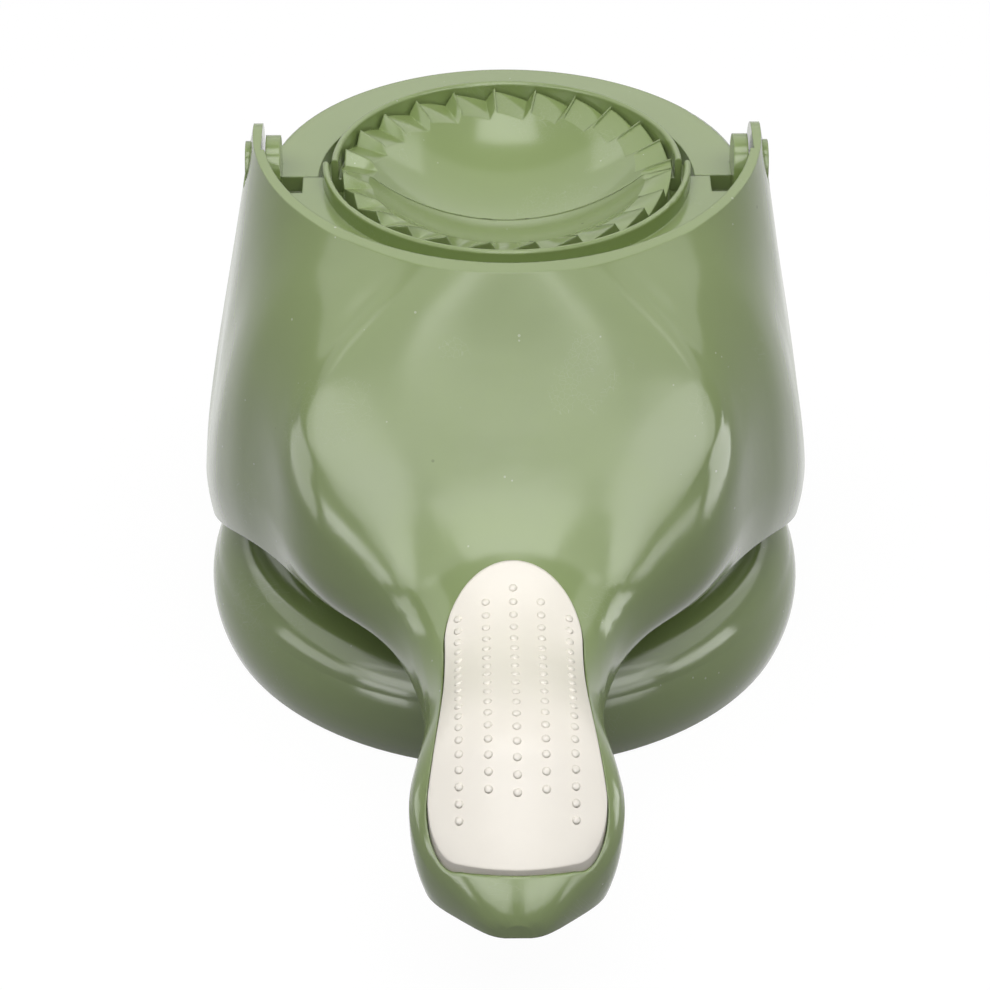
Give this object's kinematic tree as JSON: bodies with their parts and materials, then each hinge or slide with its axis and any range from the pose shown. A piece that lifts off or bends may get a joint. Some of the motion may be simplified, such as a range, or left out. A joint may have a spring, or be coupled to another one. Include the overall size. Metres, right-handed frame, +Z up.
{
  "type": "dumpling maker",
  "caption": "Hand press with a round foot and a hinged lever that folds a dough disc between two fluted half moulds into a pleated dumpling.",
  "frame": {"origin": "on the table under the middle of the round mould, in the plane of the feet", "axes": "+Z up, the handle points to -Y, +X to the right when seen from the handle"},
  "size_m": [0.13, 0.2149, 0.1174],
  "materials": {
    "sage_plastic": "gloss",
    "cream_grip": "satin",
    "pin_steel": "turned",
    "screw_steel": "zinc",
    "foot_rubber": "matt"
  },
  "bodies": {
    "base": {"base_shell": "sage_plastic", "base_floor": "sage_plastic", "floor_screws": "screw_steel", "foot_front_left": "foot_rubber", "foot_front_right": "foot_rubber", "foot_rear_left": "foot_rubber", "foot_rear_right": "foot_rubber", "rear_mould": "sage_plastic", "rear_mould_screws": "screw_steel"},
    "lever": {"lever_shell": "sage_plastic", "front_mould": "sage_plastic", "front_mould_screws": "screw_steel", "grip_pad": "cream_grip", "grip_pad_screws": "screw_steel", "handle_cover": "sage_plastic", "handle_cover_screws": "screw_steel", "hinge_pin_left": "pin_steel", "hinge_pin_right": "pin_steel", "hinge_cap_left": "sage_plastic", "hinge_cap_right": "sage_plastic"}
  },
  "joints": [
    {"name": "lift", "type": "hinge", "parent": "base", "child": "lever", "pos_m": [0, 0, 0.109], "axis": [-1, 0, 0], "range_deg": [0, 180]}
  ]
}
